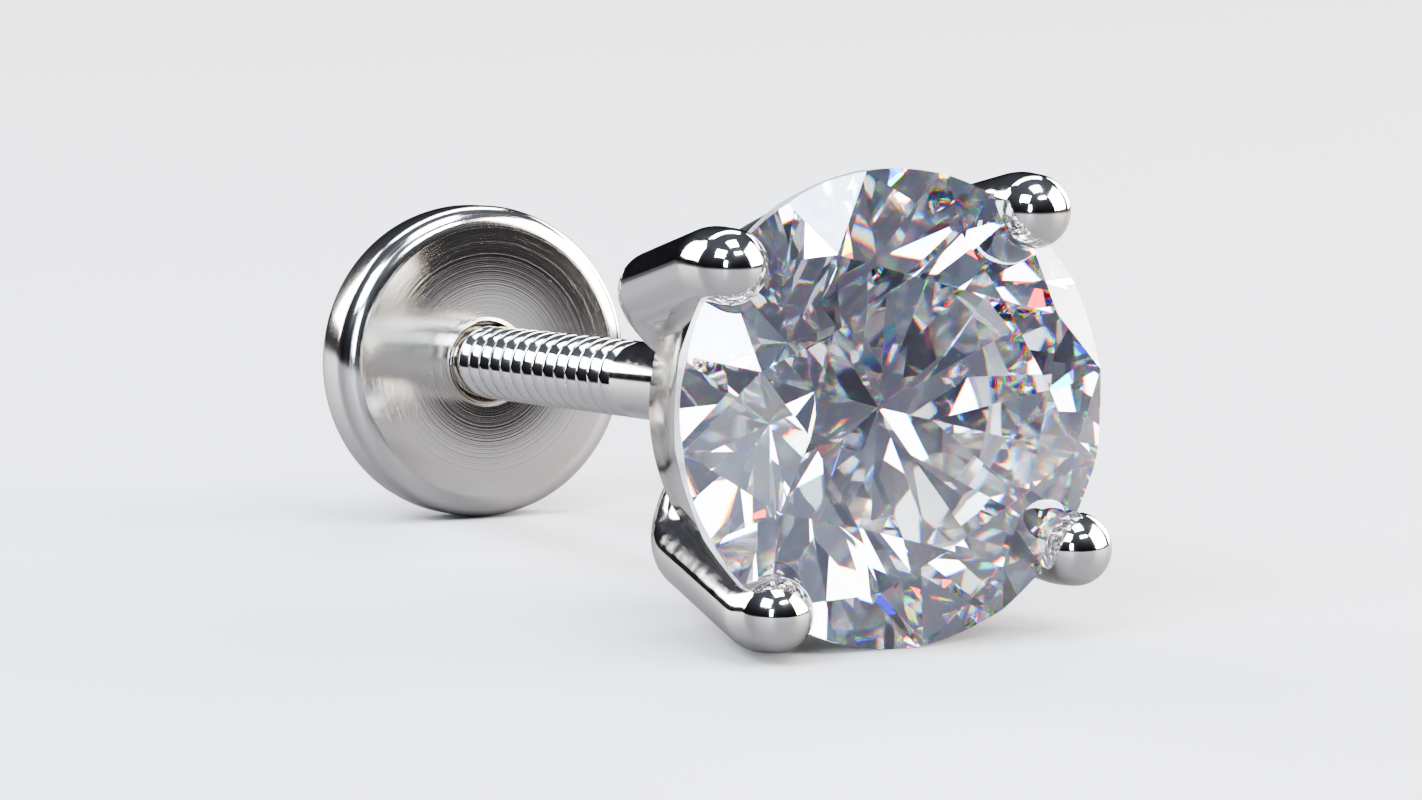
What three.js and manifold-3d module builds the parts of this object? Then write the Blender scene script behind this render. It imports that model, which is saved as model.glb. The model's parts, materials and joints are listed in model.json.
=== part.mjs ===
// A stud earring: a round brilliant in a four-prong basket with a threaded post and a plain round screw back.
// Millimetres, +Z up. The stud lies at rest: the stone faces -Y and the post runs back towards +Y.
// Every piece is made upright on its own axis first, with the stone's table up and its girdle at height zero.
import * as THREE from 'three';
import { mergeVertices } from 'three/addons/utils/BufferGeometryUtils.js';
import Module from 'manifold-3d';

const wasm = await Module();
wasm.setup();

// Stone: a half-carat round brilliant
const STONE_DIAMETER = 5.2;
const TABLE_DIAMETER = 2.96;
const GIRDLE_HEIGHT = 0.2;
const CROWN_ANGLE = 34.5;
const PAVILION_ANGLE = 40.75;
const STAR_SHARE = 0.5;
const LOWER_HALF_SHARE = 0.77;
const MAIN_FACETS = 8;
const GIRDLE_SIDES = 96;

// Basket: four round-wire prongs on a base, joined by a gallery band behind the girdle
const PRONGS = 4;
const WIRE_DIAMETER = 0.82;
const PRONG_OUTSET = 0.08;
const PRONG_LEAN = 0.72;
const ELBOW_RADIUS = 0.75;
const BEAD_RISE = 0.3;
const BEAD_TUCK = 0.03;
const BAND_HEIGHT = 1.4;
const BAND_WALL = 0.36;
const BAND_INSET = 0.05;
const BASE_DIAMETER = 2.5;
const BASE_THICKNESS = 0.62;
const CULET_ROOM = 0.42;
const SEAT_CLEARANCE = 0.03;

// Post: 0.93 mm wire with an 80 per inch thread behind a plain shank
const POST_DIAMETER = 0.93;
const POST_LENGTH = 9.5;
const SHANK_LENGTH = 2.7;
const SHOULDER_HEIGHT = 0.22;
const THREAD_PITCH = 0.3175;
const THREAD_DEPTH = 0.09;
const THREAD_FLAT = 0.05;
const TIP_CHAMFER = 0.16;

// Screw back: a plain round nut with a hub
const NUT_DIAMETER = 4;
const NUT_THICKNESS = 0.95;
const NUT_EDGE = 0.28;
const HUB_DIAMETER = 2.1;
const HUB_LENGTH = 0.85;
const HUB_EDGE = 0.2;
const BORE_CLEARANCE = 0.04;
const TIP_STANDOUT = 0.5;

// Rest: how far the stud is rolled off its lowest prong
const REST_ANGLE = 3;

// Facets on round shapes
const WIRE_SIDES = 12;
const WIRE_STEPS = 14;
const BAND_SIDES = 64;
const POST_SIDES = 12;
const NUT_SIDES = 48;
const ARC_STEPS = 4;
const MERGE_DISTANCE = 1e-5;

// Sizes that follow from the ones above
const stoneRadius = STONE_DIAMETER / 2;
const wireRadius = WIRE_DIAMETER / 2;
const postRadius = POST_DIAMETER / 2;
const rootRadius = postRadius - THREAD_DEPTH;
const boreRadius = postRadius + BORE_CLEARANCE;
const prongRadius = stoneRadius + PRONG_OUTSET;
const culetDepth = GIRDLE_HEIGHT / 2 + stoneRadius * Math.tan(radians(PAVILION_ANGLE));
const baseTop = -culetDepth - CULET_ROOM;
const baseBack = baseTop - BASE_THICKNESS;
const footHeight = baseBack + wireRadius;
const tipHeight = baseBack - POST_LENGTH;
const nutBack = tipHeight + TIP_STANDOUT;
const nutFront = nutBack + HUB_LENGTH + NUT_THICKNESS;
const nutRimBack = nutFront - NUT_THICKNESS + NUT_EDGE;

// At rest the girdle and the rim of the nut touch the surface, and one prong is just clear of it
const prongFromDown = Math.acos((stoneRadius - wireRadius) / prongRadius) + radians(REST_ANGLE);
const roll = Math.PI / PRONGS - prongFromDown;
const slope = Math.atan((stoneRadius - NUT_DIAMETER / 2) / (-nutRimBack - GIRDLE_HEIGHT / 2));

function radians(degrees) {
  return THREE.MathUtils.degToRad(degrees);
}

// A closed three.js geometry as a solid that can be joined and cut
function solidOf(geometry) {
  const bare = geometry.clone();
  bare.deleteAttribute('normal');
  bare.deleteAttribute('uv');
  const merged = mergeVertices(bare, MERGE_DISTANCE);
  return new wasm.Manifold(new wasm.Mesh({
    numProp: 3,
    vertProperties: new Float32Array(merged.attributes.position.array),
    triVerts: new Uint32Array(merged.index.array),
  }));
}

function geometryOf(solid) {
  const mesh = solid.getMesh();
  const indexed = new THREE.BufferGeometry();
  indexed.setAttribute('position', new THREE.BufferAttribute(new Float32Array(mesh.vertProperties), 3));
  indexed.setIndex(new THREE.BufferAttribute(new Uint32Array(mesh.triVerts), 1));
  const geometry = indexed.toNonIndexed();
  geometry.computeVertexNormals();
  return geometry;
}

// A turned shape on the Z axis, with a flat of its sides towards -Y. The profile's points are (radius, height)
function turned(profile, sides) {
  const geometry = new THREE.LatheGeometry(profile, sides, Math.PI / sides);
  geometry.rotateX(Math.PI / 2);
  return solidOf(geometry);
}

// Points on a rounded corner of a profile, from one angle to another in degrees
function corner(centreRadius, centreHeight, radius, from, to) {
  const points = [];
  for (let step = 0; step <= ARC_STEPS; step += 1) {
    const angle = radians(from + (to - from) * step / ARC_STEPS);
    points.push(new THREE.Vector2(centreRadius + radius * Math.cos(angle), centreHeight + radius * Math.sin(angle)));
  }
  return points;
}

function polar(radius, degrees, height) {
  const angle = radians(degrees);
  return new THREE.Vector3(radius * Math.cos(angle), radius * Math.sin(angle), height);
}

// Cuts away what lies outside the plane through three points, moved outwards by grow
function facetCut(solid, a, b, c, grow) {
  const plane = new THREE.Plane().setFromCoplanarPoints(a, b, c);
  if (plane.constant > 0) {
    plane.negate();
  }
  return solid.trimByPlane([-plane.normal.x, -plane.normal.y, -plane.normal.z], plane.constant - grow);
}

// The brilliant's facets, cut one after the other from a round blank; grow makes the room it needs in its seat
function brilliant(grow) {
  const crown = Math.tan(radians(CROWN_ANGLE));
  const pavilion = Math.tan(radians(PAVILION_ANGLE));
  const edge = GIRDLE_HEIGHT / 2;
  const tableRadius = TABLE_DIAMETER / 2;
  const sector = 360 / MAIN_FACETS;
  const half = sector / 2;
  const inward = Math.cos(radians(half));
  const turn = THREE.MathUtils.radToDeg(roll) + 180 / PRONGS;

  const tableHeight = edge + (stoneRadius - tableRadius) * crown;
  const tableSide = tableRadius * inward;
  const starTip = tableSide + STAR_SHARE * (stoneRadius - tableSide);
  const starHeight = edge + (stoneRadius - starTip * inward) * crown;
  const lowerTip = (1 - LOWER_HALF_SHARE) * stoneRadius;
  const lowerHeight = -edge - (stoneRadius - lowerTip * inward) * pavilion;

  const blankHalf = culetDepth + 2 * grow;
  const blankRadius = stoneRadius + grow;
  let stone = turned([
    new THREE.Vector2(0, -blankHalf),
    new THREE.Vector2(blankRadius, -blankHalf),
    new THREE.Vector2(blankRadius, blankHalf),
    new THREE.Vector2(0, blankHalf),
  ], GIRDLE_SIDES);
  stone = stone.trimByPlane([0, 0, -1], -tableHeight - grow);

  for (let main = 0; main < MAIN_FACETS; main += 1) {
    const at = turn + main * sector;
    const star = polar(starTip, at + half, starHeight);
    const lower = polar(lowerTip, at + half, lowerHeight);
    const beforeStar = polar(starTip, at - half, starHeight);
    const beforeLower = polar(lowerTip, at - half, lowerHeight);
    const top = polar(stoneRadius, at, edge);
    const bottom = polar(stoneRadius, at, -edge);
    stone = facetCut(stone, top, star, beforeStar, grow);
    stone = facetCut(stone, bottom, lower, beforeLower, grow);
    stone = facetCut(stone, star, polar(tableRadius, at, tableHeight),
      polar(tableRadius, at + sector, tableHeight), grow);
    for (const side of [at, at + sector]) {
      const upperGirdle = polar(stoneRadius, side, edge);
      const lowerGirdle = polar(stoneRadius, side, -edge);
      stone = facetCut(stone, star, upperGirdle, polar(stoneRadius, at + half, edge), grow);
      stone = facetCut(stone, lower, lowerGirdle, polar(stoneRadius, at + half, -edge), grow);
    }
  }
  return stone;
}

// One prong: along the base, round the elbow, out to the girdle, and a round bead over the crown
function prong(azimuth) {
  const at = (radius, height) => new THREE.Vector3(radius, 0, height);
  const elbow = at(prongRadius - PRONG_LEAN, footHeight);
  const girdle = at(prongRadius, 0);
  const bead = at(prongRadius - BEAD_TUCK, BEAD_RISE);
  const inner = at(elbow.x - ELBOW_RADIUS, footHeight);
  const rising = elbow.clone().lerp(girdle, ELBOW_RADIUS / elbow.distanceTo(girdle));
  const path = new THREE.CurvePath();
  path.add(new THREE.LineCurve3(at(0, footHeight), inner));
  path.add(new THREE.QuadraticBezierCurve3(inner, elbow, rising));
  path.add(new THREE.LineCurve3(rising, girdle));
  path.add(new THREE.LineCurve3(girdle, bead));
  const section = new THREE.Shape().absarc(0, 0, wireRadius, 0, 2 * Math.PI);
  const wire = new THREE.ExtrudeGeometry(section, {
    curveSegments: WIRE_SIDES,
    steps: WIRE_STEPS,
    extrudePath: path,
  });
  const tip = new THREE.SphereGeometry(wireRadius, WIRE_SIDES, WIRE_SIDES / 2);
  tip.rotateX(Math.PI / 2);
  tip.translate(bead.x, 0, bead.z);
  return solidOf(wire).add(solidOf(tip)).rotate([0, 0, azimuth]);
}

// The gallery band: a wall that leans with the prongs, from just behind the girdle
function galleryBand() {
  const top = -GIRDLE_HEIGHT / 2;
  const bottom = top - BAND_HEIGHT;
  const lean = BAND_HEIGHT * PRONG_LEAN / -footHeight;
  const outer = stoneRadius - BAND_INSET;
  return turned([
    new THREE.Vector2(outer, top),
    new THREE.Vector2(outer - BAND_WALL, top),
    new THREE.Vector2(outer - BAND_WALL - lean, bottom),
    new THREE.Vector2(outer - lean, bottom),
    new THREE.Vector2(outer, top),
  ], BAND_SIDES);
}

// The base disc that the prongs and the post are soldered to
function base() {
  const radius = BASE_DIAMETER / 2;
  return turned([
    new THREE.Vector2(0, baseBack),
    new THREE.Vector2(radius, baseBack),
    new THREE.Vector2(radius, baseTop),
    new THREE.Vector2(0, baseTop),
  ], NUT_SIDES);
}

// A helix round the Z axis that keeps the thread's ridge upright: its normal always points out from the axis
class ThreadHelix extends THREE.Curve {
  constructor(radius, from, to) {
    super();
    this.radius = radius;
    this.from = from;
    this.to = to;
  }

  angleAt(t) {
    return t * (this.to - this.from) / THREAD_PITCH * 2 * Math.PI;
  }

  getPoint(t) {
    const angle = this.angleAt(t);
    const height = this.from + t * (this.to - this.from);
    return new THREE.Vector3(this.radius * Math.cos(angle), this.radius * Math.sin(angle), height);
  }

  computeFrenetFrames(segments) {
    const frames = { tangents: [], normals: [], binormals: [] };
    for (let step = 0; step <= segments; step += 1) {
      const angle = this.angleAt(step / segments);
      const normal = new THREE.Vector3(Math.cos(angle), Math.sin(angle), 0);
      const tangent = new THREE.Vector3(-Math.sin(angle), Math.cos(angle), 0);
      frames.normals.push(normal);
      frames.tangents.push(tangent);
      frames.binormals.push(tangent.clone().cross(normal));
    }
    return frames;
  }
}

// The thread's ridge, sunk a little into the core so that the two join
function threadRidge(from, to) {
  const sink = THREAD_DEPTH / 2;
  const foot = THREAD_PITCH / 2 - THREAD_FLAT / 2;
  const section = new THREE.Shape([
    new THREE.Vector2(THREAD_DEPTH, 0),
    new THREE.Vector2(-sink, foot),
    new THREE.Vector2(-sink, -foot),
  ]);
  const turns = (to - from) / THREAD_PITCH;
  return solidOf(new THREE.ExtrudeGeometry(section, {
    steps: Math.round(turns * POST_SIDES),
    extrudePath: new ThreadHelix(rootRadius, from, to),
  }));
}

// The post: shoulder, plain shank and threaded stretch, all inside a cone that chamfers the tip
function post() {
  const shankBack = baseBack - SHANK_LENGTH;
  const core = turned([
    new THREE.Vector2(0, tipHeight),
    new THREE.Vector2(rootRadius, tipHeight),
    new THREE.Vector2(rootRadius, shankBack - THREAD_DEPTH),
    new THREE.Vector2(postRadius, shankBack),
    new THREE.Vector2(postRadius, baseBack - SHOULDER_HEIGHT),
    new THREE.Vector2(postRadius + SHOULDER_HEIGHT, baseBack),
    new THREE.Vector2(postRadius, baseTop - THREAD_DEPTH),
    new THREE.Vector2(0, baseTop - THREAD_DEPTH),
  ], POST_SIDES);
  const tipRadius = postRadius - TIP_CHAMFER;
  const coneWidth = BASE_DIAMETER / 2;
  const blank = turned([
    new THREE.Vector2(0, tipHeight),
    new THREE.Vector2(tipRadius, tipHeight),
    new THREE.Vector2(tipRadius + coneWidth, tipHeight + coneWidth),
    new THREE.Vector2(tipRadius + coneWidth, baseTop),
    new THREE.Vector2(0, baseTop),
  ], POST_SIDES);
  return core.add(threadRidge(tipHeight - THREAD_PITCH, shankBack + THREAD_PITCH)).intersect(blank);
}

function setting() {
  let metal = base().add(galleryBand()).add(post());
  for (let number = 0; number < PRONGS; number += 1) {
    const azimuth = (number + 0.5) * 360 / PRONGS + THREE.MathUtils.radToDeg(roll);
    metal = metal.add(prong(azimuth));
  }
  return metal.subtract(brilliant(SEAT_CLEARANCE));
}

// The screw back: flat front, rounded rim, and a hub behind
function screwBack() {
  const rim = NUT_DIAMETER / 2 - NUT_EDGE;
  const hub = HUB_DIAMETER / 2;
  const plateBack = nutFront - NUT_THICKNESS;
  return turned([
    new THREE.Vector2(boreRadius, nutFront),
    new THREE.Vector2(boreRadius, nutBack),
    ...corner(hub - HUB_EDGE, nutBack + HUB_EDGE, HUB_EDGE, -90, 0),
    new THREE.Vector2(hub, plateBack),
    ...corner(rim, plateBack + NUT_EDGE, NUT_EDGE, -90, 0),
    ...corner(rim, nutFront - NUT_EDGE, NUT_EDGE, 0, 90),
    new THREE.Vector2(boreRadius, nutFront),
  ], NUT_SIDES);
}

const diamond = new THREE.MeshStandardMaterial({ color: 0xf2f5fa, roughness: 0.0, metalness: 0.0 });
const whiteGold = new THREE.MeshStandardMaterial({ color: 0xd9d6d2, roughness: 0.08, metalness: 1.0 });
const whiteGoldBack = new THREE.MeshStandardMaterial({ color: 0xcfccc8, roughness: 0.15, metalness: 1.0 });

function piece(name, solid, material) {
  const mesh = new THREE.Mesh(geometryOf(solid), material);
  mesh.name = name;
  return mesh;
}

// The stud, laid down: turned so that the table faces -Y, then set with its lowest point at height zero
const lying = new THREE.Group();
lying.add(piece('stone', brilliant(0), diamond));
lying.add(piece('setting', setting(), whiteGold));
lying.add(piece('screw_back', screwBack(), whiteGoldBack));
lying.rotation.x = Math.PI / 2 - slope;

const earring = new THREE.Group();
earring.add(lying);
earring.updateMatrixWorld(true);
const box = new THREE.Box3().setFromObject(lying, true);
const centre = box.getCenter(new THREE.Vector3());
lying.position.set(-centre.x, -centre.y, -box.min.z);

export default earring;
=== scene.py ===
"""A solitaire stud earring: a round brilliant in a four-prong white gold basket, on a threaded post with its nut.

Every piece is shaped upright on its own axis in millimetres, with the stone's table up and its girdle at height
zero, and is then laid down in metres where the frame has it.
"""

import json
import math

import bmesh
import bpy
from bpy.props import FloatProperty, FloatVectorProperty, IntProperty, PointerProperty
from bpy.types import Operator, Panel, PropertyGroup
from mathutils import Matrix, Vector

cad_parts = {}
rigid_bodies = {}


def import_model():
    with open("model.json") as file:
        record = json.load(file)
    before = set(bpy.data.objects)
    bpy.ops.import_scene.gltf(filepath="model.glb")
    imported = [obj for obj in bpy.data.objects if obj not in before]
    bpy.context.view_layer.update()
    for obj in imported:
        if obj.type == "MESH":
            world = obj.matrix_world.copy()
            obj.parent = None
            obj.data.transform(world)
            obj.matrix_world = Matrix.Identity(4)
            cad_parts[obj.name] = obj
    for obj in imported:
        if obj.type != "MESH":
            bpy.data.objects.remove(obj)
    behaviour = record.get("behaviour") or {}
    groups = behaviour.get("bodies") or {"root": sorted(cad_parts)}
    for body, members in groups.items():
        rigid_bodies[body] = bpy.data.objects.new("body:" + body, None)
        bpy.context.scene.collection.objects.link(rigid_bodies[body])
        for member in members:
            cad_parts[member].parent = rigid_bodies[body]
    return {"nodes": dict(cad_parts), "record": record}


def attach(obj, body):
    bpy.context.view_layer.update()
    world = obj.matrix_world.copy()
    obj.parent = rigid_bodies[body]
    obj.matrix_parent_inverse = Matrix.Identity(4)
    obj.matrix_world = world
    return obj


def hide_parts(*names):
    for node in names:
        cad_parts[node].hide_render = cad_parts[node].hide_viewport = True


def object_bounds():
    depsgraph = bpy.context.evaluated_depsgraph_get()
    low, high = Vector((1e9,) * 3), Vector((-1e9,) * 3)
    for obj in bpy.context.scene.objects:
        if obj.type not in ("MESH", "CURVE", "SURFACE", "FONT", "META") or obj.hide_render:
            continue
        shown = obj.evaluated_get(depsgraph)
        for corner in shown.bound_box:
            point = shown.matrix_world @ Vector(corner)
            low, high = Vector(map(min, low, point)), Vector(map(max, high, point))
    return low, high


bl_info = {
    "name": "Solitaire Stud Earring",
    "version": (1, 0, 0),
    "blender": (4, 5, 0),
    "location": "3D View > Sidebar > Stud",
    "description": "Builds a four-prong stud earring with a screw back and its studio",
    "category": "Object",
}

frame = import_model()
CAD_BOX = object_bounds()

BODY = "root"
STONE = "round_brilliant"
MM = 1000.0

# Corners closer than this count as one, while shaping and in the finished pieces, in millimetres
MERGE = 1e-5
FINEST = 1e-3

# Forms that don't change with the sizes, and how finely round forms are divided
PRONGS = 4
GIRDLE_SIDES = 96
WIRE_SIDES = 48
ELBOW_STEPS = 20
BOW_STEPS = 6
DOME_STEPS = 14
ROUND_STEPS = 192
POST_STEPS = 96
THREAD_STEPS = 48

# Rounded edges of turned pieces: the point of the profile and the radius in millimetres
BAND_ROUNDING = [(0, 0.05), (2, 0.06), (3, 0.08)]
BASE_ROUNDING = [(1, 0.08), (2, 0.1), (3, 0.08), (4, 0.1)]
NUT_ROUNDING = [(0, 0.08), (1, 0.08), (2, 0.2), (3, 0.15)]

# Half widths of the thread's ridge as shares of the pitch, and its shoulder's drop as a share of the depth
RIDGE_FOOT = 0.38
RIDGE_SHOULDER = 0.16
RIDGE_CREST = 0.08
SHOULDER_DROP = 0.15

# Edges that bend more than this, in radians, stay crisp
METAL_CRISP = math.radians(30)
FACET_CRISP = 0.01

# A face of the stone whose normal rises less than this belongs to the girdle
GIRDLE_RISE = 0.1

DIAMOND_IOR = 2.42
MOST_BOUNCES = 24

# The round floor, the distances over which its painted reflection darkens from the mid-dark colour to the dark
# one, and over which it fades away, in metres
FLOOR_SIDES = 96
FLOOR_RADIUS = 1.4
PAINTED_REFLECTION_DARKENING = (0.04, 0.09)
FLOOR_FADE = (0.08, 0.4)

# The camera, with its lens in millimetres, and its distance and aim in metres
LENS = 120
SENSOR = 36
CAMERA_DISTANCE = 0.0565
AIM_RIGHT = 0.00075
AIM_DOWN = 0.00055

# The room's colours at the horizon and overhead, and its strength for the metal, the stone and the camera
ROOM_LOW = (0.09, 0.085, 0.115)
ROOM_HIGH = (0.72, 0.8, 1.0)
ROOM_STRENGTH = 0.17
STONE_ROOM_STRENGTH = 0.42
BACKDROP_STRENGTH = 2.15

# The lights' colours, and the groups of things that some of them light
WHITE = (1.0, 1.0, 1.0)
CREAM = (1.0, 0.95, 0.88)
COOL = (0.78, 0.88, 1.0)
STONE_ONLY = "stone_only"
NOT_STONE = "not_stone"

# Name, azimuth and elevation in degrees, distance, width and height in metres, power, colour, and the group that
# it lights, or None where it lights everything
SOFTBOXES = (
    ("key", -62, 42, 0.55, (0.28, 0.22), 7.5, COOL, None),
    ("top", 0, 76, 0.5, (0.22, 0.22), 3.0, COOL, None),
    ("side", 64, 26, 0.5, (0.48, 0.42), 10.0, CREAM, NOT_STONE),
    ("back", 165, 50, 0.5, (0.4, 0.16), 2.5, WHITE, None),
    ("back_left", -150, 22, 0.5, (0.22, 0.26), 3.5, WHITE, None),
    ("back_right", 118, 14, 0.5, (0.26, 0.3), 3.5, CREAM, None),
    ("front_left", -40, 14, 0.45, (0.06, 0.14), 1.8, COOL, None),
    ("front_high", 6, 44, 0.45, (0.16, 0.06), 1.8, WHITE, None),
    ("front_right", 26, 16, 0.45, (0.06, 0.12), 1.8, COOL, STONE_ONLY),
    ("stone_side", 56, 22, 0.5, (0.16, 0.16), 3.2, COOL, STONE_ONLY),
    ("stone_high", 76, 48, 0.5, (0.14, 0.12), 2.6, COOL, STONE_ONLY),
    ("stone_front", -6, 20, 0.45, (0.08, 0.08), 1.5, COOL, STONE_ONLY),
    ("pin_1", -12, 30, 0.3, (0.012, 0.012), 0.16, WHITE, STONE_ONLY),
    ("pin_2", 12, 24, 0.3, (0.010, 0.010), 0.14, WHITE, STONE_ONLY),
    ("pin_3", 38, 50, 0.3, (0.012, 0.012), 0.16, WHITE, STONE_ONLY),
    ("pin_4", -58, 14, 0.3, (0.010, 0.010), 0.14, WHITE, STONE_ONLY),
    ("pin_5", -32, 60, 0.3, (0.012, 0.012), 0.16, WHITE, STONE_ONLY),
    ("pin_6", -85, 30, 0.3, (0.010, 0.010), 0.14, WHITE, STONE_ONLY),
    ("pin_7", 42, 8, 0.3, (0.010, 0.010), 0.14, WHITE, STONE_ONLY),
)


def mounts():
    """The frame's mounts by name."""
    return {mount["name"]: mount for mount in frame["record"]["mounts"]}


def mean_of(node):
    """The mean of a node's corners, which lies on the stud's axis for a round piece."""
    corners = [corner.co for corner in frame["nodes"][node].data.vertices]
    return sum(corners, Vector()) / len(corners)


class StoneSizes(PropertyGroup):
    """Cut of the round brilliant."""

    diameter: FloatProperty(
        name="Diameter", description="Across the girdle", default=0.0052, unit="LENGTH")
    table: FloatProperty(
        name="Table", description="Across the table's corners", default=0.00296, unit="LENGTH")
    girdle: FloatProperty(
        name="Girdle", description="Girdle height at its thick places", default=0.0002, unit="LENGTH")
    crown: FloatProperty(
        name="Crown Angle", description="Slope of the crown's main facets",
        default=math.radians(34.5), subtype="ANGLE")
    pavilion: FloatProperty(
        name="Pavilion Angle", description="Slope of the pavilion's main facets",
        default=math.radians(40.75), subtype="ANGLE")
    star: FloatProperty(
        name="Star Length", description="Reach of the star facets towards the girdle", default=0.5)
    lower: FloatProperty(
        name="Lower Half Length", description="Reach of the lower halves towards the culet", default=0.77)
    mains: IntProperty(name="Main Facets", description="Main facets on the crown", default=8)
    fire: FloatProperty(
        name="Fire", description="Difference in IOR between blue and red", default=0.036)
    tint: FloatVectorProperty(
        name="Tint", description="Colour of the light that comes back out of the stone",
        default=(0.89, 0.916, 1.0), subtype="COLOR", size=3)


class BasketSizes(PropertyGroup):
    """Prongs, gallery band and base."""

    wire: FloatProperty(
        name="Prong Wire", description="Diameter of the prong wire", default=0.00082, unit="LENGTH")
    outset: FloatProperty(
        name="Prong Outset", description="From the girdle to the wire's middle", default=0.00008, unit="LENGTH")
    lean: FloatProperty(
        name="Prong Lean", description="How far the prongs lean in towards the base",
        default=0.00072, unit="LENGTH")
    elbow: FloatProperty(
        name="Elbow", description="Length of wire that each side of the elbow takes",
        default=0.00075, unit="LENGTH")
    rise: FloatProperty(
        name="Bead Rise", description="Height of the beads' middle over the girdle",
        default=0.0003, unit="LENGTH")
    tuck: FloatProperty(
        name="Bead Tuck", description="How far the beads are pushed in", default=0.00003, unit="LENGTH")
    rest: FloatProperty(
        name="Rest Angle", description="How far the stud is rolled off its lowest prong",
        default=math.radians(3), subtype="ANGLE")
    band: FloatProperty(
        name="Band Height", description="Height of the gallery band", default=0.0014, unit="LENGTH")
    wall: FloatProperty(
        name="Band Wall", description="Wall of the gallery band", default=0.00036, unit="LENGTH")
    inset: FloatProperty(
        name="Band Inset", description="From the girdle in to the band", default=0.00005, unit="LENGTH")
    base: FloatProperty(
        name="Base", description="Diameter of the base", default=0.0025, unit="LENGTH")
    thickness: FloatProperty(
        name="Base Thickness", description="Thickness of the base", default=0.00062, unit="LENGTH")
    room: FloatProperty(
        name="Culet Room", description="From the culet to the base", default=0.00042, unit="LENGTH")
    seat: FloatProperty(
        name="Seat Clearance", description="Room round the stone", default=0.00003, unit="LENGTH")


class PostSizes(PropertyGroup):
    """The threaded post."""

    diameter: FloatProperty(
        name="Diameter", description="Diameter of the post", default=0.00093, unit="LENGTH")
    length: FloatProperty(
        name="Length", description="From the base to the tip", default=0.0095, unit="LENGTH")
    shank: FloatProperty(
        name="Shank", description="Plain stretch behind the base", default=0.0027, unit="LENGTH")
    shoulder: FloatProperty(
        name="Shoulder", description="Solder fillet at the base", default=0.00022, unit="LENGTH")
    pitch: FloatProperty(
        name="Pitch", description="Pitch of the thread", default=0.0003175, unit="LENGTH")
    depth: FloatProperty(
        name="Depth", description="Depth of the thread", default=0.00009, unit="LENGTH")
    chamfer: FloatProperty(
        name="Chamfer", description="Chamfer at the tip", default=0.00016, unit="LENGTH")


class NutSizes(PropertyGroup):
    """The screw back."""

    diameter: FloatProperty(
        name="Diameter", description="Diameter of the plate", default=0.004, unit="LENGTH")
    plate: FloatProperty(
        name="Plate", description="Thickness of the plate", default=0.00095, unit="LENGTH")
    edge: FloatProperty(
        name="Edge", description="Rounding of the plate's rim", default=0.00028, unit="LENGTH")
    hub: FloatProperty(
        name="Hub", description="Diameter of the hub", default=0.0021, unit="LENGTH")
    hub_length: FloatProperty(
        name="Hub Length", description="Length of the hub", default=0.00085, unit="LENGTH")
    clearance: FloatProperty(
        name="Bore Clearance", description="Room round the post", default=0.00004, unit="LENGTH")
    standout: FloatProperty(
        name="Tip Standout", description="How far the tip stands out", default=0.0005, unit="LENGTH")


class Finishes(PropertyGroup):
    """Colours of the metal and the studio."""

    gold: FloatVectorProperty(
        name="White Gold", description="Colour of the polished white gold",
        default=(0.82, 0.79, 0.75), subtype="COLOR", size=3)
    nut_gold: FloatVectorProperty(
        name="Screw Back", description="Colour of the screw back",
        default=(0.78, 0.755, 0.72), subtype="COLOR", size=3)
    floor: FloatVectorProperty(
        name="Floor", description="Colour of the floor", default=(0.4, 0.4, 0.412), subtype="COLOR", size=3)
    # The next two are painted reflection: darker copies of the floor's colour that the metal's reflections and
    # the stone see instead of the pale floor
    floor_painted_near_reflection: FloatVectorProperty(
        name="Near Floor in Reflections", description="Colour of the near floor where the metal mirrors it",
        default=(0.08, 0.077, 0.084), subtype="COLOR", size=3)
    floor_painted_dark_reflection: FloatVectorProperty(
        name="Floor in Reflections", description="Colour of the floor where the stone mirrors it",
        default=(0.03, 0.028, 0.032), subtype="COLOR", size=3)
    backdrop: FloatVectorProperty(
        name="Backdrop", description="Colour that the floor fades into far away",
        default=(0.96, 0.975, 1.0), subtype="COLOR", size=3)
    azimuth: FloatProperty(
        name="Camera Azimuth", description="Camera's turn round the stud",
        default=math.radians(-27), subtype="ANGLE")
    elevation: FloatProperty(
        name="Camera Elevation", description="Camera's height over the floor",
        default=math.radians(7), subtype="ANGLE")


class StudSettings(PropertyGroup):
    """All sizes and finishes of the stud."""

    stone: PointerProperty(type=StoneSizes)
    basket: PointerProperty(type=BasketSizes)
    post: PointerProperty(type=PostSizes)
    nut: PointerProperty(type=NutSizes)
    finish: PointerProperty(type=Finishes)


class Plan:
    """Heights and radii in millimetres that follow from the sizes, as in the part itself."""

    def __init__(self, sizes):
        stone, basket, post, nut = sizes.stone, sizes.basket, sizes.post, sizes.nut
        self.radius = stone.diameter * MM / 2
        self.girdle = stone.girdle * MM / 2
        self.wire = basket.wire * MM / 2
        self.prong = self.radius + basket.outset * MM
        self.culet = self.girdle + self.radius * math.tan(stone.pavilion)
        self.base_top = -self.culet - basket.room * MM
        self.base_back = self.base_top - basket.thickness * MM
        self.foot = self.base_back + self.wire
        self.post = post.diameter * MM / 2
        self.root = self.post - post.depth * MM
        self.tip = self.base_back - post.length * MM
        self.nut_back = self.tip + nut.standout * MM
        self.nut_front = self.nut_back + (nut.hub_length + nut.plate) * MM
        from_down = math.acos((self.radius - self.wire) / self.prong) + basket.rest
        self.prong_turn = math.radians(90) - from_down


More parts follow.
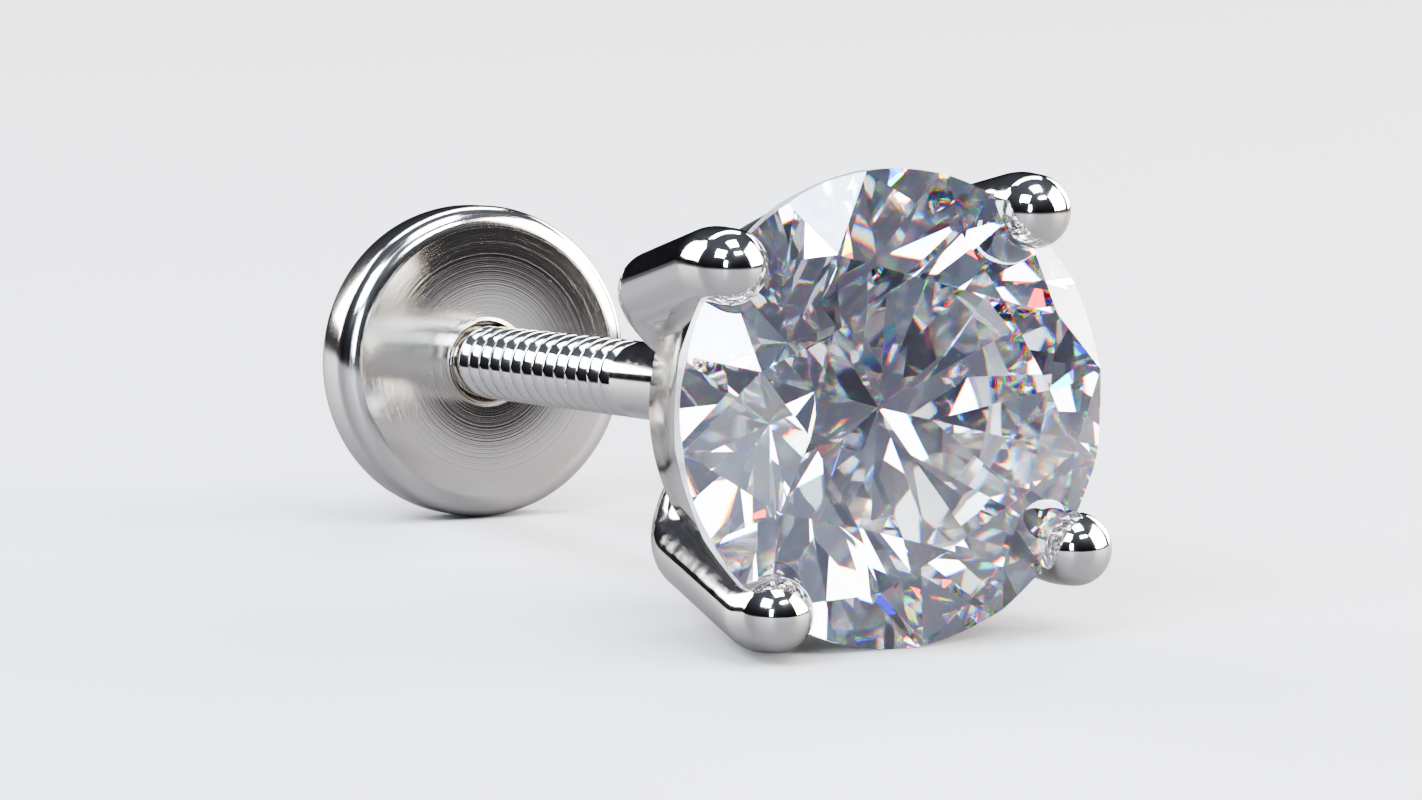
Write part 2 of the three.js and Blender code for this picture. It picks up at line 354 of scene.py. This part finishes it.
def laying(plan):
    """The matrix that lays a piece down: from upright millimetres to metres in the frame."""
    mount = mounts()["lobe_face"]
    facing = -Vector(mount["axis"]).normalized()
    on_axis = mean_of("screw_back")
    behind = (Vector(mount["pos_m"]) - on_axis).dot(facing)
    base = on_axis + facing * behind
    girdle = base - facing * plan.base_back / MM
    across = Vector((1, 0, 0))
    turn = Matrix((across, facing.cross(across), facing)).transposed()
    return Matrix.Translation(girdle) @ turn.to_4x4() @ Matrix.Scale(1 / MM, 4)


def settings():
    """The stud's settings in the open scene."""
    return bpy.context.scene.stud


def polar(radius, angle, height):
    """A point by its radius, its angle round the axis and its height."""
    return Vector((radius * math.cos(angle), radius * math.sin(angle), height))


def finish_piece(name, rough, node, materials, crisp=METAL_CRISP):
    """A piece in its place, from a rough upright mesh. Edges that bend more than the crisp angle show."""
    shape = bmesh.new()
    shape.from_mesh(rough)
    bmesh.ops.remove_doubles(shape, verts=shape.verts, dist=FINEST)
    bmesh.ops.dissolve_degenerate(shape, edges=shape.edges, dist=FINEST)
    loose = [corner for corner in shape.verts if not corner.link_faces]
    bmesh.ops.delete(shape, geom=loose, context="VERTS")
    bmesh.ops.recalc_face_normals(shape, faces=shape.faces)
    for face in shape.faces:
        face.smooth = True
    for edge in shape.edges:
        edge.smooth = len(edge.link_faces) == 2 and edge.calc_face_angle() < crisp
    bmesh.ops.transform(shape, matrix=laying(Plan(settings())), verts=shape.verts)
    mesh = mesh_of(shape, name)
    for material in materials:
        mesh.materials.append(material)
    piece = bpy.data.objects.new(name, mesh)
    bpy.context.scene.collection.objects.link(piece)
    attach(piece, BODY)
    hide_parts(node)
    return piece


def mesh_of(shape, name):
    """A bmesh as a mesh, freed."""
    mesh = bpy.data.meshes.new(name)
    shape.to_mesh(mesh)
    shape.free()
    return mesh


def turned(profile, steps, rounding=(), segments=3):
    """A turned solid. The profile's points are (radius, height); rounding gives (point number, radius) pairs."""
    shape = bmesh.new()
    corners = [shape.verts.new((radius, 0, height)) for radius, height in profile]
    closed = min(radius for radius, _ in profile) > MERGE
    pairs = list(zip(corners, corners[1:] + corners[:1] if closed else corners[1:]))
    for start, end in pairs:
        shape.edges.new((start, end))
    for number, radius in rounding:
        bmesh.ops.bevel(
            shape, geom=[corners[number]], offset=radius, offset_type="OFFSET", affect="VERTICES",
            segments=segments, profile=0.5, material=-1)
    bmesh.ops.spin(
        shape, geom=list(shape.verts) + list(shape.edges), cent=(0, 0, 0), axis=(0, 0, 1),
        angle=math.tau, steps=steps, use_merge=True)
    bmesh.ops.remove_doubles(shape, verts=shape.verts, dist=MERGE)
    bmesh.ops.recalc_face_normals(shape, faces=shape.faces)
    return shape


def combined(meshes, operation="UNION"):
    """One mesh: the first joined with, or cut by, the others."""
    result = bpy.data.objects.new("joined", meshes[0])
    bpy.context.scene.collection.objects.link(result)
    tools = []
    for mesh in meshes[1:]:
        tool = bpy.data.objects.new("tool", mesh)
        bpy.context.scene.collection.objects.link(tool)
        tools.append(tool)
        step = result.modifiers.new("join", "BOOLEAN")
        step.operation = operation
        step.solver = "MANIFOLD"
        step.object = tool
    bpy.context.view_layer.update()
    depsgraph = bpy.context.evaluated_depsgraph_get()
    mesh = bpy.data.meshes.new_from_object(result.evaluated_get(depsgraph))
    for thing in [result] + tools:
        bpy.data.objects.remove(thing)
    return mesh


def brilliant(grow=0.0):
    """The round brilliant in upright millimetres, cut facet by facet; grow is the room it needs in its seat."""
    sizes = settings().stone
    plan = Plan(settings())
    crown, pavilion = math.tan(sizes.crown), math.tan(sizes.pavilion)
    table = sizes.table * MM / 2
    sector = math.tau / sizes.mains
    half = sector / 2
    inward = math.cos(half)
    table_height = plan.girdle + (plan.radius - table) * crown
    table_side = table * inward
    star = table_side + sizes.star * (plan.radius - table_side)
    star_height = plan.girdle + (plan.radius - star * inward) * crown
    lower = (1 - sizes.lower) * plan.radius
    lower_height = -plan.girdle - (plan.radius - lower * inward) * pavilion

    shape = bmesh.new()
    blank = plan.culet + 2 * grow
    bmesh.ops.create_cone(
        shape, cap_ends=True, segments=GIRDLE_SIDES, radius1=plan.radius + grow, radius2=plan.radius + grow,
        depth=2 * blank, matrix=Matrix.Rotation(math.pi / GIRDLE_SIDES, 4, "Z"))

    def cut(first, second, third):
        """Cuts off what lies outside the plane through three points, and caps the cut."""
        outward = (second - first).cross(third - first).normalized()
        if outward.dot(first) < 0:
            outward.negate()
        result = bmesh.ops.bisect_plane(
            shape, geom=list(shape.verts) + list(shape.edges) + list(shape.faces), dist=MERGE,
            plane_co=first + outward * grow, plane_no=outward, clear_outer=True)
        rim = [item for item in result["geom_cut"] if isinstance(item, bmesh.types.BMEdge)]
        if rim:
            bmesh.ops.edgeloop_fill(shape, edges=rim)

    cut(*(polar(table, angle, table_height) for angle in (0, 1, 2)))
    for number in range(sizes.mains):
        at = plan.prong_turn + number * sector
        star_tip, before_star = polar(star, at + half, star_height), polar(star, at - half, star_height)
        lower_tip, before_lower = polar(lower, at + half, lower_height), polar(lower, at - half, lower_height)
        # A main facet of the crown and one of the pavilion, and the star between two crown mains
        cut(polar(plan.radius, at, plan.girdle), star_tip, before_star)
        cut(polar(plan.radius, at, -plan.girdle), lower_tip, before_lower)
        cut(star_tip, polar(table, at, table_height), polar(table, at + sector, table_height))
        # The upper and lower halves on each side of it
        for side in (at, at + sector):
            cut(star_tip, polar(plan.radius, side, plan.girdle), polar(plan.radius, at + half, plan.girdle))
            cut(lower_tip, polar(plan.radius, side, -plan.girdle), polar(plan.radius, at + half, -plan.girdle))
    shape.normal_update()
    for face in shape.faces:
        face.material_index = int(grow == 0 and abs(face.normal.z) < GIRDLE_RISE)
    return mesh_of(shape, "brilliant")


class Wire:
    """Round wire in the XZ plane that is drawn straight, bent and domed, as a goldsmith shapes a prong."""

    def __init__(self, start, direction, radius, sides):
        self.shape = bmesh.new()
        self.place = Vector(start)
        self.direction = Vector(direction).normalized()
        self.radius = radius
        turn = self.direction.to_track_quat("Z", "Y").to_matrix().to_4x4()
        bmesh.ops.create_circle(
            self.shape, cap_ends=True, segments=sides, radius=radius, matrix=Matrix.Translation(start) @ turn)
        self.ring = list(self.shape.edges)

    def drawn(self, reach, width=1.0):
        """Draws the wire on by a reach, and narrows its end to a share of its width."""
        new = bmesh.ops.extrude_edge_only(self.shape, edges=self.ring)["geom"]
        verts = [item for item in new if isinstance(item, bmesh.types.BMVert)]
        self.ring = [item for item in new if isinstance(item, bmesh.types.BMEdge)
                     and all(vert in verts for vert in item.verts)]
        bmesh.ops.translate(self.shape, verts=verts, vec=self.direction * reach)
        self.place = self.place + self.direction * reach
        bmesh.ops.scale(
            self.shape, verts=verts, vec=(width, width, width), space=Matrix.Translation(-self.place))
        return verts

    def bent(self, angle, bend_radius, steps):
        """Bends the wire upwards by an angle, or downwards by a negative one."""
        side = math.copysign(1, angle)
        normal = Vector((-self.direction.z, 0, self.direction.x)) * side
        centre = self.place + normal * bend_radius
        axis = Vector((0, -1, 0)) * side
        new = bmesh.ops.spin(
            self.shape, geom=self.ring, cent=centre, axis=axis, angle=abs(angle), steps=steps)
        last = new["geom_last"]
        self.ring = [item for item in last if isinstance(item, bmesh.types.BMEdge)]
        turn = Matrix.Rotation(abs(angle), 3, axis)
        self.place = centre + turn @ (self.place - centre)
        self.direction = turn @ self.direction

    def domed(self, steps):
        """Closes the end with a half ball."""
        width = 1.0
        for step in range(1, steps):
            angle, before = math.pi / 2 * step / steps, math.pi / 2 * (step - 1) / steps
            reach = self.radius * (math.sin(angle) - math.sin(before))
            narrower = math.cos(angle)
            self.drawn(reach, narrower / width)
            width = narrower
        rim = self.drawn(self.radius * (1 - math.sin(math.pi / 2 * (steps - 1) / steps)))
        bmesh.ops.pointmerge(self.shape, verts=rim, merge_co=self.place)


def prongs():
    """The four prongs, from the base round the elbow to their beads."""
    sizes = settings().basket
    plan = Plan(settings())
    lean, elbow = sizes.lean * MM, sizes.elbow * MM
    rising = Vector((lean, 0, -plan.foot))
    tuck = Vector((-sizes.tuck * MM, 0, sizes.rise * MM))
    bend = rising.angle(Vector((1, 0, 0)))
    bow = tuck.angle(rising)
    bow_reach = sizes.rise * MM / 3
    wire = Wire((0, 0, plan.foot), (1, 0, 0), plan.wire, WIRE_SIDES)
    wire.drawn(plan.prong - lean - elbow)
    wire.bent(bend, elbow / math.tan(bend / 2), ELBOW_STEPS)
    wire.drawn(rising.length - elbow - bow_reach)
    wire.bent(bow, bow_reach / math.tan(bow / 2), BOW_STEPS)
    wire.drawn(tuck.length - bow_reach)
    wire.domed(DOME_STEPS)
    bmesh.ops.recalc_face_normals(wire.shape, faces=wire.shape.faces)
    single = mesh_of(wire.shape, "prong")
    copies = []
    for number in range(PRONGS):
        copy = single.copy()
        copy.transform(Matrix.Rotation(plan.prong_turn + number * math.tau / PRONGS, 4, "Z"))
        copies.append(copy)
    return copies


def gallery_band():
    """The gallery band between the prongs."""
    sizes = settings().basket
    plan = Plan(settings())
    outer, wall, height = plan.radius - sizes.inset * MM, sizes.wall * MM, sizes.band * MM
    lean = height * sizes.lean * MM / -plan.foot
    top = -plan.girdle
    inner, foot = outer - wall, top - height
    profile = [(outer, top), (inner, top), (inner - lean, foot), (outer - lean, foot)]
    return mesh_of(turned(profile, ROUND_STEPS, BAND_ROUNDING), "band")


def base_and_core():
    """The base with the post's shoulder, plain shank and the core that carries the thread."""
    basket, post = settings().basket, settings().post
    plan = Plan(settings())
    shoulder, depth = post.shoulder * MM, post.depth * MM
    shank_back = plan.base_back - post.shank * MM
    profile = [
        (0, plan.base_top),
        (basket.base * MM / 2, plan.base_top),
        (basket.base * MM / 2, plan.base_back),
        (plan.post + shoulder, plan.base_back),
        (plan.post, plan.base_back - shoulder),
        (plan.post, shank_back),
        (plan.root, shank_back - depth),
        (plan.root, plan.tip),
        (0, plan.tip),
    ]
    return mesh_of(turned(profile, POST_STEPS, BASE_ROUNDING), "base")


def thread():
    """The thread's ridge, spun round the post's core, with a rounded crest."""
    sizes = settings().post
    plan = Plan(settings())
    pitch, depth = sizes.pitch * MM, sizes.depth * MM
    start = plan.tip - pitch
    turns = math.floor((plan.base_back - sizes.shank * MM + pitch - start) / pitch)
    sunk = plan.root - depth / 2
    foot, shoulder, crest = pitch * RIDGE_FOOT, pitch * RIDGE_SHOULDER, pitch * RIDGE_CREST
    shoulder_radius = plan.post - depth * SHOULDER_DROP
    outline = [
        (sunk, -foot), (plan.root, -foot), (shoulder_radius, -shoulder), (plan.post, -crest),
        (plan.post, crest), (shoulder_radius, shoulder), (plan.root, foot), (sunk, foot),
    ]
    shape = bmesh.new()
    ridge = shape.faces.new([shape.verts.new((radius, 0, start + height)) for radius, height in outline])
    bmesh.ops.spin(
        shape, geom=[ridge], cent=(0, 0, 0), axis=(0, 0, 1), dvec=(0, 0, pitch / THREAD_STEPS),
        angle=math.tau * turns, steps=turns * THREAD_STEPS)
    bmesh.ops.recalc_face_normals(shape, faces=shape.faces)
    return mesh_of(shape, "thread")


def tip_cone():
    """What the tip's chamfer leaves: a cone that widens from the tip to more than the base."""
    plan = Plan(settings())
    start = plan.post - settings().post.chamfer * MM
    widen = settings().basket.base * MM / 2 + 1
    profile = [(0, plan.tip), (start, plan.tip), (start + widen, plan.tip + widen),
               (start + widen, plan.base_top + widen), (0, plan.base_top + widen)]
    return mesh_of(turned(profile, POST_STEPS), "cone")


def nut():
    """The screw back: a plate with a rounded rim and a hub."""
    sizes = settings().nut
    plan = Plan(settings())
    bore, hub, rim = plan.post + sizes.clearance * MM, sizes.hub * MM / 2, sizes.diameter * MM / 2
    plate_back = plan.nut_front - sizes.plate * MM
    profile = [(bore, plan.nut_front), (bore, plan.nut_back), (hub, plan.nut_back), (hub, plate_back),
               (rim, plate_back), (rim, plan.nut_front)]
    rounding = NUT_ROUNDING + [(4, sizes.edge * MM), (5, sizes.edge * MM)]
    return mesh_of(turned(profile, ROUND_STEPS, rounding, segments=6), "nut")


def shader(name):
    """An empty node material and its output."""
    material = bpy.data.materials.new(name)
    material.use_nodes = True
    tree = material.node_tree
    tree.nodes.clear()
    output = tree.nodes.new("ShaderNodeOutputMaterial")
    return material, tree, output


def upright_place(tree):
    """Object coordinates turned back to the stud's upright millimetres."""
    matrix = laying(Plan(settings()))
    place, turn, scale = matrix.decompose()
    coordinates = tree.nodes.new("ShaderNodeTexCoord")
    mapping = tree.nodes.new("ShaderNodeMapping")
    mapping.vector_type = "TEXTURE"
    mapping.inputs["Location"].default_value = place
    mapping.inputs["Rotation"].default_value = turn.to_euler()
    mapping.inputs["Scale"].default_value = scale
    tree.links.new(coordinates.outputs["Object"], mapping.inputs["Vector"])
    return mapping.outputs["Vector"]


def noise(tree, place, scale, detail=3.0, stretch=(1, 1, 1)):
    """A noise pattern, stretched along an axis if asked."""
    mapping = tree.nodes.new("ShaderNodeMapping")
    mapping.inputs["Scale"].default_value = stretch
    texture = tree.nodes.new("ShaderNodeTexNoise")
    texture.inputs["Scale"].default_value = scale
    texture.inputs["Detail"].default_value = detail
    tree.links.new(place, mapping.inputs["Vector"])
    tree.links.new(mapping.outputs["Vector"], texture.inputs["Vector"])
    return texture.outputs["Fac"]


def spread(tree, value, low, high, start=0.0, end=1.0):
    """A value spread from one range to another."""
    node = tree.nodes.new("ShaderNodeMapRange")
    node.inputs["From Min"].default_value = start
    node.inputs["From Max"].default_value = end
    node.inputs["To Min"].default_value = low
    node.inputs["To Max"].default_value = high
    tree.links.new(value, node.inputs["Value"])
    return node.outputs["Result"]


def tinted(tree, value, dark, light):
    """A colour between two, by a value."""
    ramp = tree.nodes.new("ShaderNodeValToRGB")
    ramp.color_ramp.elements[0].color = (*dark, 1)
    ramp.color_ramp.elements[1].color = (*light, 1)
    tree.links.new(value, ramp.inputs["Fac"])
    return ramp.outputs["Color"]


def darker(colour, share):
    """A colour with a share of its lightness left."""
    return tuple(part * share for part in colour)


def bumped(tree, height, strength, distance):
    """A bump normal from a height pattern; the distance is in metres."""
    bump = tree.nodes.new("ShaderNodeBump")
    bump.inputs["Strength"].default_value = strength
    bump.inputs["Distance"].default_value = distance
    tree.links.new(height, bump.inputs["Height"])
    return bump.outputs["Normal"]


def polished_gold(name, colour):
    """Polished white gold with a faint tone change, polishing haze and hair scratches."""
    material, tree, output = shader(name)
    place = upright_place(tree)
    metal = tree.nodes.new("ShaderNodeBsdfPrincipled")
    metal.inputs["Metallic"].default_value = 1.0
    tone = noise(tree, place, scale=0.9)
    tree.links.new(tinted(tree, tone, darker(colour, 0.93), colour), metal.inputs["Base Color"])
    haze = noise(tree, place, scale=6.0, detail=5.0)
    tree.links.new(spread(tree, haze, low=0.05, high=0.11, start=0.35, end=0.7), metal.inputs["Roughness"])
    scratches = noise(tree, place, scale=9.0, detail=8.0, stretch=(1, 1, 0.15))
    tree.links.new(bumped(tree, scratches, strength=0.08, distance=0.00001), metal.inputs["Normal"])
    tree.links.new(metal.outputs["BSDF"], output.inputs["Surface"])
    return material


def turned_gold(name, colour):
    """The nut's white gold, polished over fine turning rings round the bore."""
    material, tree, output = shader(name)
    place = upright_place(tree)
    metal = tree.nodes.new("ShaderNodeBsdfPrincipled")
    metal.inputs["Metallic"].default_value = 1.0
    separate = tree.nodes.new("ShaderNodeSeparateXYZ")
    flat = tree.nodes.new("ShaderNodeCombineXYZ")
    length = tree.nodes.new("ShaderNodeVectorMath")
    length.operation = "LENGTH"
    tree.links.new(place, separate.inputs["Vector"])
    tree.links.new(separate.outputs["X"], flat.inputs["X"])
    tree.links.new(separate.outputs["Y"], flat.inputs["Y"])
    tree.links.new(flat.outputs["Vector"], length.inputs[0])
    rings = tree.nodes.new("ShaderNodeTexNoise")
    rings.noise_dimensions = "1D"
    rings.inputs["Scale"].default_value = 52.0
    rings.inputs["Detail"].default_value = 4.0
    tree.links.new(length.outputs["Value"], rings.inputs["W"])
    groove = rings.outputs["Fac"]
    tone = noise(tree, place, scale=1.1)
    tree.links.new(tinted(tree, tone, darker(colour, 0.9), colour), metal.inputs["Base Color"])
    tree.links.new(spread(tree, groove, low=0.07, high=0.17, start=0.3, end=0.7), metal.inputs["Roughness"])
    tree.links.new(bumped(tree, groove, strength=0.16, distance=0.000005), metal.inputs["Normal"])
    tree.links.new(metal.outputs["BSDF"], output.inputs["Surface"])
    return material


def mixed(tree, share, first, second):
    """A mix of two shaders; the share of the second is a number or a socket."""
    mix = tree.nodes.new("ShaderNodeMixShader")
    if isinstance(share, float):
        mix.inputs["Fac"].default_value = share
    else:
        tree.links.new(share, mix.inputs["Fac"])
    tree.links.new(first, mix.inputs[1])
    tree.links.new(second, mix.inputs[2])
    return mix.outputs["Shader"]


def clear_glass(tree, colour, ior):
    """A clear, polished glass shader."""
    glass = tree.nodes.new("ShaderNodeBsdfGlass")
    glass.inputs["Color"].default_value = (*colour, 1)
    glass.inputs["Roughness"].default_value = 0.0
    glass.inputs["IOR"].default_value = ior
    return glass.outputs["BSDF"]


def diamond(name):
    """Diamond with a faint cool tint. Light parts into its colours where it leaves the stone, which gives fire.

    Each of the three coloured glasses takes a third of the light, so its own colour is three times as strong.
    """
    material, tree, output = shader(name)
    stone = settings().stone
    half, tint = stone.fire / 2, stone.tint
    inside = clear_glass(tree, (1, 1, 1), DIAMOND_IOR)
    red = clear_glass(tree, (3 * tint.r, 0, 0), DIAMOND_IOR - half)
    green = clear_glass(tree, (0, 3 * tint.g, 0), DIAMOND_IOR)
    blue = clear_glass(tree, (0, 0, 3 * tint.b), DIAMOND_IOR + half)
    parted = mixed(tree, 1 / 3, mixed(tree, 0.5, red, green), blue)
    path = tree.nodes.new("ShaderNodeLightPath")
    tree.links.new(mixed(tree, path.outputs["Is Camera Ray"], inside, parted), output.inputs["Surface"])
    return material


def bruted_girdle(name):
    """The girdle's ground edge: diamond with a fine, uneven grain."""
    material, tree, output = shader(name)
    place = upright_place(tree)
    glass = tree.nodes.new("ShaderNodeBsdfGlass")
    glass.inputs["IOR"].default_value = DIAMOND_IOR
    grain = noise(tree, place, scale=48.0, detail=4.0)
    tree.links.new(tinted(tree, grain, (0.82, 0.84, 0.88), (1, 1, 1)), glass.inputs["Color"])
    tree.links.new(spread(tree, grain, low=0.25, high=0.55, start=0.3, end=0.7), glass.inputs["Roughness"])
    tree.links.new(bumped(tree, grain, strength=0.2, distance=0.000005), glass.inputs["Normal"])
    tree.links.new(glass.outputs["BSDF"], output.inputs["Surface"])
    return material


class STUD_OT_stone(Operator):
    """Cut the round brilliant"""

    bl_idname = "stud.stone"
    bl_label = "Stone"

    def execute(self, context):
        finishes = [diamond("diamond"), bruted_girdle("bruted_girdle")]
        finish_piece(STONE, brilliant(), "stone", finishes, crisp=FACET_CRISP)
        return {"FINISHED"}


class STUD_OT_basket(Operator):
    """Build the basket and its post, soldered into one solid"""

    bl_idname = "stud.basket"
    bl_label = "Basket and Post"

    def execute(self, context):
        post = combined([combined([base_and_core(), thread()]), tip_cone()], "INTERSECT")
        metal = combined([post, gallery_band()] + prongs())
        seat = brilliant(settings().basket.seat * MM)
        metal = combined([metal, seat], "DIFFERENCE")
        gold = polished_gold("polished_white_gold", settings().finish.gold)
        finish_piece("basket_and_post", metal, "setting", [gold])
        return {"FINISHED"}


class STUD_OT_nut(Operator):
    """Turn the screw back"""

    bl_idname = "stud.nut"
    bl_label = "Screw Back"

    def execute(self, context):
        gold = turned_gold("turned_white_gold", settings().finish.nut_gold)
        finish_piece("screw_back_nut", nut(), "screw_back", [gold])
        return {"FINISHED"}


def soft_light(name, place, target, size, power, colour):
    """A rectangular soft light that faces a target."""
    lamp = bpy.data.lights.new(name, "AREA")
    lamp.shape = "RECTANGLE"
    lamp.size, lamp.size_y = size
    lamp.energy = power
    lamp.color = colour
    light = bpy.data.objects.new(name, lamp)
    light.location = place
    light.rotation_euler = (Vector(target) - Vector(place)).to_track_quat("-Z", "Y").to_euler()
    bpy.context.scene.collection.objects.link(light)
    return light


def direction(azimuth, elevation):
    """The direction to a place round the stud. Azimuth 0 is in front of the stone, and 90 to its right."""
    level = math.cos(elevation)
    return Vector((math.sin(azimuth) * level, -math.cos(azimuth) * level, math.sin(elevation)))


def paper(name, finish):
    """The floor's matt pale paper, as the camera sees it, which fades into the backdrop. Reflections see a
    painted mid-dark floor close by that turns darker further out, and the stone sees only the painted dark one,
    for contrast.
    """
    material, tree, output = shader(name)
    place = tree.nodes.new("ShaderNodeTexCoord").outputs["Object"]
    tone = noise(tree, place, scale=40.0)
    sheets = []
    # Three copies of the paper: the painted dark reflection, the painted mid-dark reflection close by, and the
    # pale floor that the camera sees
    for colour, gloss in ((finish.floor_painted_dark_reflection, 0.0), (finish.floor_painted_near_reflection, 0.25), (finish.floor, 0.5)):
        sheet = tree.nodes.new("ShaderNodeBsdfPrincipled")
        tree.links.new(tinted(tree, tone, darker(colour, 0.97), colour), sheet.inputs["Base Color"])
        sheet.inputs["Roughness"].default_value = 0.6
        sheet.inputs["Specular IOR Level"].default_value = gloss
        sheets.append(sheet.outputs["BSDF"])
    dark, near, pale = sheets
    path = tree.nodes.new("ShaderNodeLightPath")
    away = tree.nodes.new("ShaderNodeVectorMath")
    away.operation = "LENGTH"
    tree.links.new(place, away.inputs[0])
    glow = tree.nodes.new("ShaderNodeEmission")
    glow.inputs["Color"].default_value = (*finish.backdrop, 1)
    glow.inputs["Strength"].default_value = BACKDROP_STRENGTH
    distance = away.outputs["Value"]
    farness = spread(tree, distance, 0, 1, *FLOOR_FADE)
    pale = mixed(tree, farness, pale, glow.outputs["Emission"])
    # Painted reflection: rays that are not from the camera see the mid-dark floor close by, darkening further
    # out, and the stone sees only the dark one
    closeness = spread(tree, distance, 1, 0, *PAINTED_REFLECTION_DARKENING)
    painted_reflection_floor = mixed(tree, path.outputs["Is Transmission Ray"], mixed(tree, closeness, dark, near), dark)
    tree.links.new(mixed(tree, path.outputs["Is Camera Ray"], painted_reflection_floor, pale), output.inputs["Surface"])
    return material


def studio_world(finish):
    """A room round the stud, dim at the horizon and pale overhead, and brighter for the stone to refract.

    The camera sees the pale backdrop instead.
    """
    world = bpy.data.worlds.new("studio")
    world.use_nodes = True
    tree = world.node_tree
    room = tree.nodes["Background"]
    towards = tree.nodes.new("ShaderNodeTexCoord")
    height = tree.nodes.new("ShaderNodeSeparateXYZ")
    ramp = tree.nodes.new("ShaderNodeValToRGB")
    ramp.color_ramp.interpolation = "EASE"
    ramp.color_ramp.elements[0].color = (*ROOM_LOW, 1)
    ramp.color_ramp.elements[1].color = (*ROOM_HIGH, 1)
    tree.links.new(towards.outputs["Generated"], height.inputs["Vector"])
    tree.links.new(height.outputs["Z"], ramp.inputs["Fac"])
    tree.links.new(ramp.outputs["Color"], room.inputs["Color"])
    path = tree.nodes.new("ShaderNodeLightPath")
    strength = spread(tree, path.outputs["Is Transmission Ray"], ROOM_STRENGTH, STONE_ROOM_STRENGTH)
    tree.links.new(strength, room.inputs["Strength"])
    backdrop = tree.nodes.new("ShaderNodeBackground")
    backdrop.inputs["Color"].default_value = (*finish.backdrop, 1)
    backdrop.inputs["Strength"].default_value = BACKDROP_STRENGTH
    seen = mixed(
        tree, path.outputs["Is Camera Ray"], room.outputs["Background"], backdrop.outputs["Background"])
    tree.links.new(seen, tree.nodes["World Output"].inputs["Surface"])
    return world


class STUD_OT_stage(Operator):
    """Set up the floor, the lights and the camera"""

    bl_idname = "stud.stage"
    bl_label = "Stage"

    def execute(self, context):
        scene, finish = context.scene, settings().finish
        low, high = CAD_BOX
        centre = (Vector(low) + Vector(high)) / 2
        shape = bmesh.new()
        bmesh.ops.create_circle(
            shape, cap_ends=True, segments=FLOOR_SIDES, radius=FLOOR_RADIUS, matrix=Matrix.Identity(4))
        floor = bpy.data.objects.new("floor", mesh_of(shape, "floor"))
        scene.collection.objects.link(floor)
        floor.data.materials.append(paper("floor", finish))

        groups = {name: bpy.data.collections.new(name) for name in (STONE_ONLY, NOT_STONE)}
        for thing in scene.objects:
            groups[STONE_ONLY if thing.name == STONE else NOT_STONE].objects.link(thing)
        for name, azimuth, elevation, distance, size, power, colour, lit in SOFTBOXES:
            place = centre + direction(math.radians(azimuth), math.radians(elevation)) * distance
            light = soft_light(name, place, centre, size, power, colour)
            light.light_linking.receiver_collection = groups.get(lit)

        scene.cycles.max_bounces = MOST_BOUNCES
        scene.cycles.glossy_bounces = MOST_BOUNCES
        scene.cycles.transmission_bounces = MOST_BOUNCES
        scene.world = studio_world(finish)
        scene.view_settings.look = "AgX - Medium High Contrast"

        data = bpy.data.cameras.new("camera")
        data.lens, data.sensor_width = LENS, SENSOR
        data.clip_start, data.clip_end = 0.001, 10
        camera = bpy.data.objects.new("camera", data)
        scene.collection.objects.link(camera)
        away = direction(finish.azimuth, finish.elevation)
        right = Vector((0, 0, 1)).cross(away).normalized()
        aim = centre + right * AIM_RIGHT - away.cross(right) * AIM_DOWN
        camera.location = aim + away * CAMERA_DISTANCE
        camera.rotation_euler = (-away).to_track_quat("-Z", "Y").to_euler()
        scene.camera = camera
        return {"FINISHED"}


class STUD_PT_panel(Panel):
    """Lists the stud's pieces in the sidebar."""

    bl_label = "Stud Earring"
    bl_idname = "STUD_PT_panel"
    bl_space_type = "VIEW_3D"
    bl_region_type = "UI"
    bl_category = "Stud"

    def draw(self, context):
        for operator in OPERATORS:
            self.layout.operator(operator.bl_idname)


OPERATORS = (STUD_OT_stone, STUD_OT_basket, STUD_OT_nut, STUD_OT_stage)
CLASSES = (StoneSizes, BasketSizes, PostSizes, NutSizes, Finishes, StudSettings, *OPERATORS, STUD_PT_panel)


def register():
    for group in CLASSES:
        bpy.utils.register_class(group)
    bpy.types.Scene.stud = PointerProperty(type=StudSettings)


def unregister():
    del bpy.types.Scene.stud
    for group in reversed(CLASSES):
        bpy.utils.unregister_class(group)


def main():
    register()
    bpy.ops.stud.stone()
    bpy.ops.stud.basket()
    bpy.ops.stud.nut()
    bpy.ops.stud.stage()


if __name__ == "__main__":
    main()
